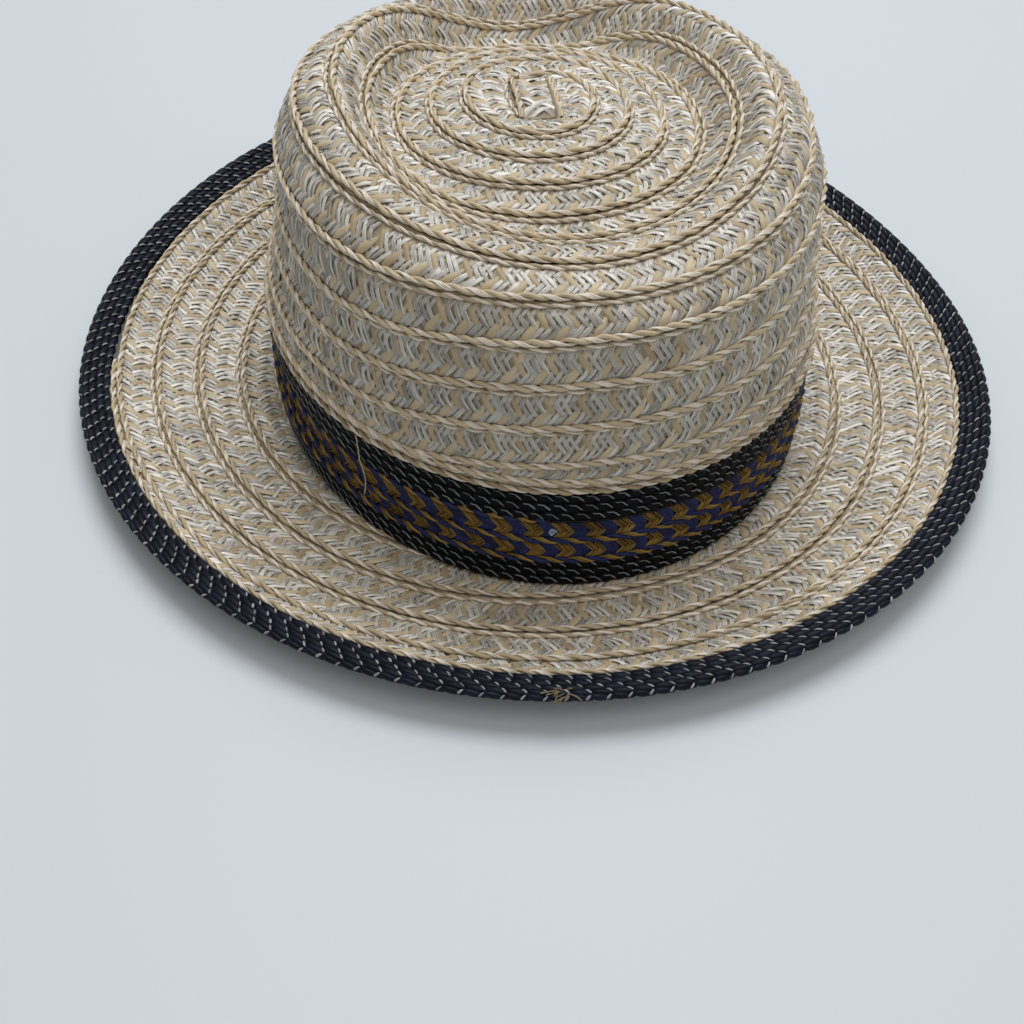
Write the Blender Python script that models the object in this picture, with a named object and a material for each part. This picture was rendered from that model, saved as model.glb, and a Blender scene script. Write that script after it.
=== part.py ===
"""Straw hat sewn from plaited strips, with a teardrop crown, a sewn-in band and a bound brim.

Metres, +Z up. The hat stands on the flat ring under the crown's base, at z = 0. Its front faces -Y.
A turn is one lap round the hat, counted clockwise from above, starting at the back centre (+Y).
"""
import math

import bpy
import numpy as np

# ---- driving dimensions ----
STEPS = 40                    # sections in one turn
PLAIT = 0.0014                # thickness of every plait
LAP_STEP = 0.0010             # how far each turn's lower edge stands over the next turn
GAP = 0.0003                  # clearance between touching pieces
THREAD_R = 0.00025            # radius of the sewing thread
THREAD_CLEAR = 0.00035        # clearance between the thread and the plaits

TIP_X = 0.0045                # centre of the starting turn
TIP_Y = 0.0035
TIP_HALF = 0.004              # the turns are this much longer than wide, each way
CORE = 0.0006                 # radius left open at the very tip

BAND_TOP_Z = 0.0315           # height where the crown meets the band
CROWN_FOOT = (0.0858, 0.0989)       # half width and half length of the crown above the band
BAND_TOP = (0.0846, 0.0977)
BAND_FOOT = (0.0848, 0.1036)
BRIM_INNER = (0.0828, 0.1018)
BRIM_OUTER = (0.1455, 0.1470)
BRIM_SHIFT = 0.0002           # the brim's outline sits this much further back

CROWN_TURNS = 11.6            # turns that end above the band at the back
CROWN_TAIL = 0.8              # length of the tapering tail, in turns
CROWN_STRETCHES = (("crown_top_braid", 0.0), ("crown_crease_braid", 3.4),
                   ("crown_shoulder_braid", 5.8), ("crown_upper_side_braid", 7.3),
                   ("crown_lower_side_braid", 9.4))
CROWN_JOIN = 0.0014           # gap between two stretches, in turns
CROWN_SEWN = (0.5, 11.3)      # turns that the crown's thread runs through
FIRST_TURN = 0.0074           # tip to the first seam, along the surface
TOP_PITCH = 0.00998           # seam spacing on the top
SIDE_EXTRA = 0.0023           # added to the spacing beyond the crease
CREASE_TURN = 4.5

UPPER_BRAID = 0.0086          # heights of the band's rows, along its slope
PATTERN_ROW = 0.0065
PATTERN_TURNS = 2
PATTERN_TRIM = 0.25           # turns left off each tapering end
BAND_SEWN = (0.05, 3.95)      # turns that the band's thread runs through
BAND_SEWN_FROM = 0.06         # where it starts, as a share of the band's height
BAND_SEWN_TURN = 0.22         # and how far down a turn takes it
LOOSE_TURN = (0.112, 0.118)   # the loose end, from the crown's edge to its tip
LOOSE_DROP = (0.001, 0.014)
LOOSE_HEIGHTS = (0.0006, 0.0009, 0.0011, 0.0008, 0.0007)

BRIM_TURNS = 3.5
BRIM_TRIM = 0.1               # turns left off each tapering end
BRIM_SPLIT = 2.6              # where the brim's second stretch starts, in turns
BRIM_JOIN = 0.0010            # gap between its two stretches, in turns
BRIM_FLUSH = 1.2              # the turns start to lap over each other here
BRIM_SEWN = (2.1, 3.2)        # turns that the brim's thread runs through
EDGE_WIDTH = 0.0088
EDGE_PROUD = 0.0006           # edge braid above the brim's surface
EDGE_DEEP = 0.0022            # and below it
EDGE_JOIN_TURN = 0.014        # the edge braid's lap starts beside the back centre
EDGE_LAP = 1 / STEPS - EDGE_JOIN_TURN    # and ends at the first step
EDGE_RAMP = 0.004             # where the braid thins towards its lap, in turns
EDGE_SOFT = 0.0012            # cut of the edge braid's corners
EDGE_SEWN = (0.03, 0.99)      # turns that the edge braid's thread runs through
EDGE_SEWN_IN = 0.0014         # its distance from the edge braid
BRIM_RISE = (0.0094, 0.0093, 0.0217)     # lift of the edge at the sides, back and front
RISE_START = 0.28             # share of the brim's width that lies flat
RISE_POWER = 1.2
PINCH_POWER = 6               # how narrow the front pinch of the crown is

SWEAT_IN = 0.0031             # band surface to the sweatband's outer face
SWEAT_THICK = 0.0009
SWEAT_TOP = 0.0010            # distance of the sweatband's edges from the band's
SWEAT_FOOT = 0.0006
SWEAT_SEWN = (0.004, 0.996)   # turns that the sweatband's thread runs through
SWEAT_SEWN_UP = 0.0025        # its height above the band's foot
TAPE_THICK = 0.0005
TAPE_TOP = 0.0020             # distance of the tape's and the tab's edges from the band's
TAPE_FOOT = 0.0046
TAPE_HALF = 0.013             # half width of the join tape, in turns
TAB_TURN = 0.045              # place and size of the size tab
TAB_HALF = 0.009
TAB_FOOT = 0.0116
TAB_THICK = 0.0003

# Crown profiles from the tip outwards, at the side, back and front: (distance, height above the band)
SIDE_PROFILE = ((0.0, 63.1), (17.0, 63.3), (31.5, 59.5), (44.5, 57.3),
                (60.5, 69.5), (74.8, 57.5), (78.5, 30.0), (85.8, 0.0))
BACK_PROFILE = ((0.0, 63.1), (19.0, 63.0), (36.0, 59.8), (50.0, 55.0),
                (66.0, 57.5), (83.5, 51.0), (89.5, 31.0), (91.4, 0.0))
FRONT_PROFILE = ((0.0, 63.1), (20.0, 61.6), (38.0, 57.5), (57.0, 50.0),
                 (72.5, 59.5), (79.5, 51.0), (87.0, 28.0), (98.4, 0.0))
PROFILE_UNIT = 0.001
PROFILE_STEPS = 8             # points between two profile points
BAND_STEPS = 3
BRIM_STEPS = 12
PLACE_ERROR = 1e-6            # a place this close to a step is on it
SHORTEST = 0.01               # shortest stretch beside a strip's end, in steps

NATURAL = (0.43, 0.38, 0.27)
BLACK = (0.012, 0.012, 0.018)
BLUE = (0.07, 0.065, 0.12)
NAVY = (0.014, 0.018, 0.034)
THREAD = (0.52, 0.47, 0.37)
SWEAT = (0.62, 0.58, 0.50)
TAPE = (0.70, 0.68, 0.63)


# ---- surfaces ----
def angle(turn):
    """Direction of a turn value: clockwise from +Y."""
    return math.pi / 2 - 2 * math.pi * turn


def around(side, back, front, theta):
    """Blend of values given for the sides, the back and the front."""
    far = back if math.sin(theta) > 0 else front
    return side * math.cos(theta) ** 2 + far * math.sin(theta) ** 2


def crown_form(side, back, front, theta):
    """The same for the crown. The front's pinch reaches less far round than the back's form does."""
    if math.sin(theta) >= 0:
        return around(side, back, front, theta)
    share = abs(math.sin(theta)) ** PINCH_POWER
    return side * (1 - share) + front * share


def oval(halves, z, theta):
    return np.array([halves[0] * math.cos(theta), halves[1] * math.sin(theta), z])


def smooth_line(points, steps):
    """Catmull-Rom curve through the points, level at its first point."""
    start = (-points[1][0], points[1][1])
    end = 2 * np.array(points[-1]) - np.array(points[-2])
    knots = np.vstack([start, points, end])
    line = []
    for i in range(1, len(knots) - 2):
        a, b, c, d = knots[i - 1:i + 3]
        for t in np.linspace(0, 1, steps, endpoint=False):
            line.append(0.5 * (2 * b + (c - a) * t + (2 * a - 5 * b + 4 * c - d) * t ** 2
                               + (3 * b - a - 3 * c + d) * t ** 3))
    line.append(knots[-2])
    return np.array(line)


def crown_column(theta):
    """The crown's outer surface along one direction, from the tip to the band."""
    side, back, front = (np.array(p) * PROFILE_UNIT for p in (SIDE_PROFILE, BACK_PROFILE, FRONT_PROFILE))
    line = smooth_line(crown_form(side, back, front, theta), PROFILE_STEPS)
    reach, height = line[:, 0], line[:, 1]
    x = TIP_X * (1 - reach / reach[-1]) + reach * math.cos(theta)
    y = TIP_Y + (TIP_HALF + reach) * math.sin(theta)
    column = np.stack([x, y, BAND_TOP_Z + height], 1)
    foot = oval(CROWN_FOOT, BAND_TOP_Z, theta)
    pull = np.clip(1 - height / height[0], 0, 1) * (reach / reach[-1]) ** 4
    return column + pull[:, None] * (foot - column[-1])


def band_column(theta):
    top = oval(BAND_TOP, BAND_TOP_Z - GAP, theta)
    foot = oval(BAND_FOOT, PLAIT + 2 * GAP, theta)
    return np.array([top + (foot - top) * share for share in np.linspace(0, 1, BAND_STEPS + 1)])


def brim_column(theta):
    inner = oval(BRIM_INNER, PLAIT, theta)
    outer = oval(BRIM_OUTER, PLAIT, theta) + np.array([0.0, BRIM_SHIFT, 0.0])
    share = np.linspace(0, 1, BRIM_STEPS + 1)
    lift = np.clip((share - RISE_START) / (1 - RISE_START), 0, 1) ** RISE_POWER
    column = inner + (outer - inner) * share[:, None]
    column[:, 2] += lift * around(*BRIM_RISE, theta)
    return column


class Surface:
    """A surface made of columns, one for each step of a turn, with outward normals."""

    def __init__(self, column):
        self.points = np.array([column(angle(i / STEPS)) for i in range(STEPS)])
        along = np.gradient(self.points, axis=1)
        across = np.roll(self.points, -1, 0) - np.roll(self.points, 1, 0)
        across[:, 0] = across[:, 1]
        normal = np.cross(across, along)
        normal /= np.linalg.norm(normal, axis=2, keepdims=True)
        self.normals = normal
        legs = np.linalg.norm(np.diff(self.points, axis=1), axis=2)
        self.arc = np.hstack([np.zeros((STEPS, 1)), np.cumsum(legs, axis=1)])

    def length(self, turn):
        return self._mix(turn, lambda i: self.arc[i, -1])

    def at(self, turn, distance, height):
        """Point at a distance along the column and a height above the surface."""
        return self._mix(turn, lambda i: self._on_column(i, distance, height))

    def _on_column(self, i, distance, height):
        point = [np.interp(distance, self.arc[i], self.points[i, :, k]) for k in range(3)]
        normal = [np.interp(distance, self.arc[i], self.normals[i, :, k]) for k in range(3)]
        return np.array(point) + height * np.array(normal)

    def _mix(self, turn, value):
        place = turn * STEPS
        low = math.floor(place + PLACE_ERROR)
        part = max(0.0, place - low)
        first = value(low % STEPS)
        if part < PLACE_ERROR:
            return first
        return first + part * (value((low + 1) % STEPS) - first)


def turns_between(start, end):
    """Turn values at the ends and at every step between them."""
    first = math.ceil(start * STEPS + SHORTEST)
    last = math.ceil(end * STEPS - SHORTEST)
    return [start] + [i / STEPS for i in range(first, last)] + [end]


# ---- objects ----
def clear_scene():
    for item in list(bpy.data.objects):
        bpy.data.objects.remove(item, do_unlink=True)


def material(name, color, roughness):
    item = bpy.data.materials.new(name)
    item.use_nodes = True
    shader = item.node_tree.nodes["Principled BSDF"]
    shader.inputs["Base Color"].default_value = (*color, 1.0)
    shader.inputs["Roughness"].default_value = roughness
    shader.inputs["Metallic"].default_value = 0.0
    return item


def add_object(name, data, color, roughness):
    item = bpy.data.objects.new(name, data)
    bpy.data.collections["panama_hat"].objects.link(item)
    data.materials.append(material(name, color, roughness))
    return item


def loft(name, sections, color, roughness=0.7):
    """One closed body through equal-sided sections, capped at both ends."""
    sides = len(sections[0])
    points = [tuple(p) for section in sections for p in section]
    faces = [tuple(range(sides)), tuple(len(points) - 1 - i for i in range(sides))]
    for row in range(len(sections) - 1):
        base = row * sides
        for i in range(sides):
            j = (i + 1) % sides
            faces.append((base + j, base + i, base + sides + i, base + sides + j))
    mesh = bpy.data.meshes.new(name)
    mesh.from_pydata(points, [], faces)
    return add_object(name, mesh, color, roughness)


def thread(name, points, color=THREAD):
    """A round thread through the points, with capped ends."""
    curve = bpy.data.curves.new(name, "CURVE")
    curve.dimensions = "3D"
    curve.bevel_depth = THREAD_R
    curve.bevel_resolution = 0
    curve.use_fill_caps = True
    spline = curve.splines.new("POLY")
    spline.points.add(len(points) - 1)
    for knot, point in zip(spline.points, points):
        knot.co = (*point, 1.0)
    return add_object(name, curve, color, 0.6)


def plait_section(surface, turn, upper, lower, step, ribs=2):
    """Section of a flat plait whose lower edge stands proud of its upper edge."""
    shares = np.linspace(0, 1, ribs)
    outer = [surface.at(turn, upper + (lower - upper) * s, -step * (1 - s)) for s in shares]
    inner = [surface.at(turn, upper + (lower - upper) * s, -step * (1 - s) - PLAIT) for s in shares]
    return outer + inner[::-1]


# ---- the crown ----
def seam_distance(surface, turn):
    """Distance of the crown's spiral seam from the tip, at a turn."""
    extra = max(0.0, turn - CREASE_TURN) * SIDE_EXTRA
    plain = FIRST_TURN + TOP_PITCH * turn + extra
    whole = FIRST_TURN + TOP_PITCH * CROWN_TURNS + (CROWN_TURNS - CREASE_TURN) * SIDE_EXTRA
    return min(1.0, plain / whole) * surface.length(turn)


def crown_section(surface, turn):
    upper = CORE
    if turn >= 1:
        upper = seam_distance(surface, turn - 1) + GAP
    return plait_section(surface, turn, upper, seam_distance(surface, turn), LAP_STEP, 3)


def crown_braids(surface):
    """The crown's one long plait, in stretches that meet end to end."""
    ends = [start for name, start in CROWN_STRETCHES[1:]] + [CROWN_TURNS + CROWN_TAIL + CROWN_JOIN]
    for (name, start), end in zip(CROWN_STRETCHES, ends):
        sections = [crown_section(surface, turn) for turn in turns_between(start, end - CROWN_JOIN)]
        loft(name, sections, NATURAL)


def crown_seam_thread(surface):
    depth = LAP_STEP + PLAIT + THREAD_CLEAR + THREAD_R
    points = [surface.at(turn, seam_distance(surface, turn), -depth)
              for turn in turns_between(*CROWN_SEWN)]
    return thread("crown_seam_thread", points)


# ---- the band ----
def pattern_top(turn):
    return UPPER_BRAID + GAP + PATTERN_ROW * min(PATTERN_TURNS, max(0.0, turn))


def band_braids(surface):
    end = 1 - GAP / (2 * math.pi * BAND_TOP[0])
    step = LAP_STEP / 2
    upper = [plait_section(surface, t, 0.0, UPPER_BRAID, step) for t in turns_between(0.0, end)]
    loft("band_upper_braid", upper, BLACK, 0.45)
    pattern = [plait_section(surface, t, pattern_top(t - 1) + GAP, pattern_top(t), step)
               for t in turns_between(PATTERN_TRIM, PATTERN_TURNS + 1 - PATTERN_TRIM)]
    loft("band_pattern_braid", pattern, BLUE, 0.5)
    start = pattern_top(PATTERN_TURNS) + GAP
    lower = [plait_section(surface, t, start, surface.length(t), step) for t in turns_between(0.0, end)]
    loft("band_lower_braid", lower, BLACK, 0.45)


def band_seam_thread(surface):
    depth = LAP_STEP / 2 + PLAIT + THREAD_CLEAR + THREAD_R
    points = []
    for turn in turns_between(*BAND_SEWN):
        share = BAND_SEWN_FROM + BAND_SEWN_TURN * turn
        points.append(surface.at(turn, surface.length(turn) * share, -depth))
    return thread("band_seam_thread", points, BLACK)


def loose_thread_end(surface):
    """The end of the crown's thread, hanging down over the band."""
    count = len(LOOSE_HEIGHTS)
    places = zip(np.linspace(*LOOSE_TURN, count), np.linspace(*LOOSE_DROP, count), LOOSE_HEIGHTS)
    points = [surface.at(turn, drop, height + THREAD_R) for turn, drop, height in places]
    return thread("loose_thread_end", points)


# ---- the brim ----
def brim_seam(surface, turn):
    return (surface.length(turn) - EDGE_WIDTH - GAP) * min(1.0, max(0.0, turn / BRIM_TURNS))


def brim_step(turn):
    """The turns lie flush near the crown and lap over each other further out."""
    return LAP_STEP * min(1.0, max(0.0, turn - BRIM_FLUSH))


def brim_section(surface, turn):
    inner = brim_seam(surface, turn - 1) + (GAP if turn > 1 else 0.0)
    outer = brim_seam(surface, turn)
    under = -brim_step(turn - 1)
    return [surface.at(turn, inner, under), surface.at(turn, outer, 0.0),
            surface.at(turn, outer, -PLAIT), surface.at(turn, inner, under - PLAIT)]


def brim_braids(surface):
    """The brim's one long plait, in two stretches that meet end to end."""
    join, end = BRIM_SPLIT, BRIM_TURNS + 1 - BRIM_TRIM
    for name, start, stop in (("brim_inner_braid", BRIM_TRIM, join - BRIM_JOIN), ("brim_braid", join, end)):
        loft(name, [brim_section(surface, turn) for turn in turns_between(start, stop)], NATURAL)


def brim_seam_thread(surface):
    depth = LAP_STEP + PLAIT + THREAD_CLEAR + THREAD_R
    points = [surface.at(turn, brim_seam(surface, turn), -depth)
              for turn in turns_between(*BRIM_SEWN)]
    return thread("brim_seam_thread", points)


def edge_section(surface, turn, bottom, top):
    """Round-cornered section of the edge braid between two heights."""
    outer = surface.length(turn)
    inner = outer - EDGE_WIDTH
    soft = min(EDGE_SOFT, (top - bottom) / 3)
    return [surface.at(turn, inner, top - soft), surface.at(turn, inner + soft, top),
            surface.at(turn, outer - soft, top), surface.at(turn, outer, top - soft),
            surface.at(turn, outer, bottom + soft), surface.at(turn, outer - soft, bottom),
            surface.at(turn, inner + soft, bottom), surface.at(turn, inner, bottom + soft)]


def brim_edge_braid(surface):
    """One turn whose thinned ends lap over each other."""
    start, middle = EDGE_JOIN_TURN, (EDGE_PROUD - EDGE_DEEP) / 2
    sections = []
    for turn in (start, start + EDGE_LAP):
        sections.append(edge_section(surface, turn, -EDGE_DEEP, middle - GAP / 2))
    for turn in turns_between(start + EDGE_LAP + EDGE_RAMP, start + 1 - EDGE_RAMP):
        sections.append(edge_section(surface, turn, -EDGE_DEEP, EDGE_PROUD))
    for turn in (start + 1, start + 1 + EDGE_LAP):
        sections.append(edge_section(surface, turn, middle + GAP / 2, EDGE_PROUD))
    return loft("brim_edge_braid", sections, NAVY, 0.5)


def edge_seam_thread(surface):
    offset = EDGE_WIDTH + EDGE_SEWN_IN
    points = [surface.at(turn, surface.length(turn) - offset, THREAD_CLEAR + THREAD_R)
              for turn in turns_between(*EDGE_SEWN)]
    return thread("edge_seam_thread", points)


# ---- inside the crown ----
def lining_strip(name, surface, turns, top, foot, depth, thick, color, roughness):
    """A strip that follows the inside of the band at a depth."""
    sections = []
    for turn in turns:
        low = surface.length(turn) - foot
        sections.append([surface.at(turn, top, -depth), surface.at(turn, low, -depth),
                         surface.at(turn, low, -depth - thick), surface.at(turn, top, -depth - thick)])
    return loft(name, sections, color, roughness)


def sweatband_pieces(surface):
    seam = GAP / (2 * math.pi * BAND_TOP[1])
    inside = SWEAT_IN + SWEAT_THICK + GAP
    lining_strip("sweatband", surface, turns_between(seam, 1 - seam), SWEAT_TOP, SWEAT_FOOT,
                 SWEAT_IN, SWEAT_THICK, SWEAT, 0.8)
    lining_strip("sweatband_join_tape", surface, (-TAPE_HALF, 0.0, TAPE_HALF), TAPE_TOP,
                 TAPE_FOOT, inside, TAPE_THICK, TAPE, 0.8)
    lining_strip("size_tab", surface, (TAB_TURN - TAB_HALF, TAB_TURN + TAB_HALF), TAPE_TOP,
                 TAB_FOOT, inside, TAB_THICK, TAPE, 0.8)
    depth = SWEAT_IN + SWEAT_THICK + THREAD_CLEAR + THREAD_R
    points = [surface.at(turn, surface.length(turn) - SWEAT_SEWN_UP, -depth)
              for turn in turns_between(*SWEAT_SEWN)]
    thread("sweatband_seam_thread", points)


def build():
    clear_scene()
    parts = bpy.data.collections.new("panama_hat")
    bpy.context.scene.collection.children.link(parts)
    crown, band, brim = Surface(crown_column), Surface(band_column), Surface(brim_column)
    crown_braids(crown)
    crown_seam_thread(crown)
    band_braids(band)
    band_seam_thread(band)
    loose_thread_end(band)
    brim_braids(brim)
    brim_seam_thread(brim)
    brim_edge_braid(brim)
    edge_seam_thread(brim)
    sweatband_pieces(band)


build()
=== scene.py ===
"""Looks of the sewn straw hat: every strand of its plaits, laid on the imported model's surfaces.

Metres, +Z up, the hat's front at -Y. A turn is one lap, clockwise from above, from the back centre (+Y).
A plait's own coordinates are s, the distance along it, v, 0 at its upper edge and 1 at its lower edge,
and h, the height above it.
"""
import math

import bpy
import numpy as np
from mathutils import Matrix, Vector


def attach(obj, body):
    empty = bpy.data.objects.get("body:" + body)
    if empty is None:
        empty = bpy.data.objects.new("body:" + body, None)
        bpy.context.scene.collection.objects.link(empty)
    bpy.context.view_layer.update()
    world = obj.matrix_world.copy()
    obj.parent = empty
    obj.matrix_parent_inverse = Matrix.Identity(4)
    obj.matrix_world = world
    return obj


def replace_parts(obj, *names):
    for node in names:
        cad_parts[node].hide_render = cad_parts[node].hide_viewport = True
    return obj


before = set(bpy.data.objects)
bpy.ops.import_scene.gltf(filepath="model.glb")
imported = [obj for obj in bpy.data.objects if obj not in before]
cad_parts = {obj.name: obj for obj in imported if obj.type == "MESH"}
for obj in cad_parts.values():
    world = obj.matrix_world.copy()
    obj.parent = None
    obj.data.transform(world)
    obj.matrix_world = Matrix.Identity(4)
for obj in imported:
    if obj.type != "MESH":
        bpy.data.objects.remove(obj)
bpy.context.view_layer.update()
MM = 0.001
CIRCLE = 2 * math.pi

# ---- the hat's form, as in the CAD model ----
COLUMNS = 360  # columns in a surface, and points down each one
SAMPLES = 420
SEAM_POINTS = 720  # points in a turn of a seam line
PLAIT = 0.0014  # a plait's thickness
GAP = 0.0003  # between parts that lie side by side
TIP = (0.0045, 0.0035)  # the middle of the crown's top
TIP_HALF = 0.004  # half length of the line that the crown's columns start from
TOP_RISE = 0.0631  # the crown's top over the band's
BAND_TOP_Z = 0.0315
CROWN_FOOT = (0.0858, 0.0989)  # half axes of the ovals, across the hat and along it
BAND_TOP = (0.0846, 0.0977)
BAND_FOOT = (0.0848, 0.1036)
BRIM_INNER = (0.0828, 0.1018)
BRIM_OUTER = (0.1455, 0.1470)
BRIM_SHIFT = 0.0002
CROWN_TURNS = 11.6
FIRST_TURN = 0.0074
TOP_PITCH = 0.00998  # width of a row on the crown's top, and what the side's rows add to it
SIDE_EXTRA = 0.0023
CREASE_TURN = 4.5
UPPER_BRAID = 0.0086  # widths of the band's upper plait, a row of the pattern, and the edge plait
PATTERN_ROW = 0.0065
EDGE_WIDTH = 0.0088
BRIM_RISE = (0.0094, 0.0093, 0.0217)  # how far the brim's edge rises at its sides, back and front
RISE_START = 0.28
RISE_POWER = 1.2
PINCH_POWER = 6  # the higher, the narrower the front's pinch
# The crown's section at its sides, back and front: distance out and height over the band, in mm
SIDE_PROFILE = (
    (0.0, 63.1), (17.0, 63.3), (31.5, 59.5), (44.5, 57.3), (60.5, 69.5), (74.8, 57.5),
    (78.5, 30.0), (85.8, 0.0))
BACK_PROFILE = (
    (0.0, 63.1), (19.0, 63.0), (36.0, 59.8), (50.0, 55.0), (66.0, 57.5), (83.5, 51.0),
    (89.5, 31.0), (91.4, 0.0))
FRONT_PROFILE = (
    (0.0, 63.1), (20.0, 61.6), (38.0, 57.5), (57.0, 50.0), (72.5, 59.5), (79.5, 51.0),
    (87.0, 28.0), (98.4, 0.0))
PROFILE_STEPS = 24

EDGE_TOP = 0.0003  # the edge plait's strands start from this height
EDGE_DEEP = 0.0018  # and reach this far below the brim
EDGE_JOIN = 0.014  # turn where the edge plait's ends meet
SWEAT_IN = 0.0031  # the sweatband's outer face lies this far inside the band's surface
SWEAT_THICK = 0.0009
SWEAT_ENDS = (0.0010, 0.0006)  # below the band's top and above its foot
SWEAT_SEWN_UP = 0.0025  # its stitches' distance from the band's foot
SWEAT_FLAT = (0.028, 0.561)
LINING_POINTS = 12  # points across each face of a strip of cloth
TAPE_HALF = 0.013  # half of the tape that covers the sweatband's join, in turns
TAPE_ENDS = (0.0020, 0.0046)
TAPE_THICK = 0.0005
TAPE_FLAT = (0.0234, 0.0148)
TAB = (0.036, 0.054)  # the blank tab's ends, in turns
TAB_ENDS = (0.0020, 0.0116)
TAB_THICK = 0.0003
TAB_FLAT = (0.0162, 0.0102)
LOOSE_TURN = (0.126, 0.123)  # the loose end of thread, from the crown's edge to its tip
LOOSE_DROP = (-0.0004, 0.0185)
LOOSE_HEIGHTS = (0.0010, 0.0011, 0.0016, 0.0013, 0.0012, 0.0010)  # over the band, along its length
LOOSE_RADIUS = 0.00009  # a fibre's radius, and its distance from the thread's middle
KNOT = (0.018, 0.0112)  # the knot at the pattern's start: turn, and distance from the band's top

# ---- the plaits ----
STITCH_LONG = 0.0045
STITCH_PITCH = 0.0057
STITCH_RADIUS = 0.00016
STITCH_RISE = 0.00030  # a stitch's middle stands this far over its ends
STITCH_SUNK = 0.00018  # and its ends lie this far under the line
SEWN_LINE = (0.09, -0.00010)  # v and height of the stitches along a natural plait's row
LAP = 0.0009  # a row's lower edge stands this far over the next row
SINK = 0.0011  # under the row above, a plait sinks this far over this width
SINK_OVER = 0.0015
HIDDEN = 0.0015  # strands further under the row above are left out
CUT_MARGIN = 0.0002  # strands keep this far from the ends of an open plait
ROPE_MARGIN = 0.001  # and its ropes this far
REPEAT = 0.0082  # length of one pattern repeat along a natural plait
NARROW = 0.0092  # a natural plait is never narrower; the rest hides under the row above
STRIP_HALF = (0.0054, 0.0128)  # half width and half length of the starting strip
STRIP_SEEN = 0.0105  # half of the length that the first row leaves open
STRIP_LIFT = 0.0008  # the strip's height over the crown's top
STRIP_FALL = (0.0015, 0.020)  # its fall towards the front end, and over what length
STRIP_END = (0.80, 0.0060)  # part of its seen half where its ends turn down, and how steeply
LOOP_MARGIN = 0.03  # how far a closed plait's lines run on past its ends, in turns
RIDGE_IN = 0.0010  # a row's ridge lies this far inside its seam
CORD_TURN = 1.12  # the crown plait's thin cord shows from here on
LAST_ROW = 0.0054  # the last ridge's distance from the crown's foot
HEM_END = 0.0004  # and the hem's
CROWN_ENDS = (0.40, 12.25)  # turns where each spiral plait starts and ends
BRIM_ENDS = (-1.9, 2.25)
PATTERN_ENDS = (0.02, 2.6)
# Distance of the side's rows from the even spiral: part of a turn from the back, and mm
ROW_DRIFT = (
    (-0.25, -4.2), (-0.05, -4.5), (0.0, -4.6), (0.02, -3.9), (0.054, -2.5), (0.075, -1.1),
    (0.1, 1.2), (0.14, 3.4), (0.17, 4.0), (0.25, 4.0), (0.75, -4.2))


def mm(*values):
    return np.array(values) * MM


def angle(turn):
    return math.pi / 2 - CIRCLE * turn


def around(side, back, front, theta):
    """A value at an angle, from those at the hat's sides, back and front."""
    far = back if math.sin(theta) > 0 else front
    return side * math.cos(theta) ** 2 + far * math.sin(theta) ** 2


def crown_form(side, back, front, theta):
    """The same for the crown's section, with its pinch at the front."""
    if math.sin(theta) >= 0:
        return around(side, back, front, theta)
    share = abs(math.sin(theta)) ** PINCH_POWER
    return side * (1 - share) + front * share


def oval(halves, z, theta):
    return np.array([halves[0] * math.cos(theta), halves[1] * math.sin(theta), z])


def smooth_line(points, steps):
    """Catmull-Rom curve through the points, level at its first point."""
    start = (-points[1][0], points[1][1])
    end = 2 * np.array(points[-1]) - np.array(points[-2])
    knots = np.vstack([start, points, end])
    line = []
    for i in range(1, len(knots) - 2):
        a, b, c, d = knots[i - 1:i + 3]
        for t in np.linspace(0, 1, steps, endpoint=False):
            line.append(0.5 * (2 * b + (c - a) * t + (2 * a - 5 * b + 4 * c - d) * t ** 2
                               + (3 * b - a - 3 * c + d) * t ** 3))
    line.append(knots[-2])
    return np.array(line)


def crown_column(theta):
    """The crown's line from tip to foot. Its lower part meets the foot's oval."""
    side, back, front = (np.array(p) * MM for p in (SIDE_PROFILE, BACK_PROFILE, FRONT_PROFILE))
    line = smooth_line(crown_form(side, back, front, theta), PROFILE_STEPS)
    reach, height = line[:, 0], line[:, 1]
    x = TIP[0] * (1 - reach / reach[-1]) + reach * math.cos(theta)
    y = TIP[1] + (TIP_HALF + reach) * math.sin(theta)
    column = np.stack([x, y, BAND_TOP_Z + height], 1)
    pull = np.clip(1 - height / height[0], 0, 1) * (reach / reach[-1]) ** 4
    return column + pull[:, None] * (oval(CROWN_FOOT, BAND_TOP_Z, theta) - column[-1])


def band_column(theta):
    top = oval(BAND_TOP, BAND_TOP_Z - GAP, theta)
    foot = oval(BAND_FOOT, PLAIT + 2 * GAP, theta)
    return np.array([top + (foot - top) * share for share in np.linspace(0, 1, 4)])


def brim_column(theta):
    inner = oval(BRIM_INNER, PLAIT, theta)
    outer = oval(BRIM_OUTER, PLAIT, theta) + np.array([0.0, BRIM_SHIFT, 0.0])
    share = np.linspace(0, 1, 49)
    lift = np.clip((share - RISE_START) / (1 - RISE_START), 0, 1) ** RISE_POWER
    column = inner + (outer - inner) * share[:, None]
    column[:, 2] += lift * around(*BRIM_RISE, theta)
    return column


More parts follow.
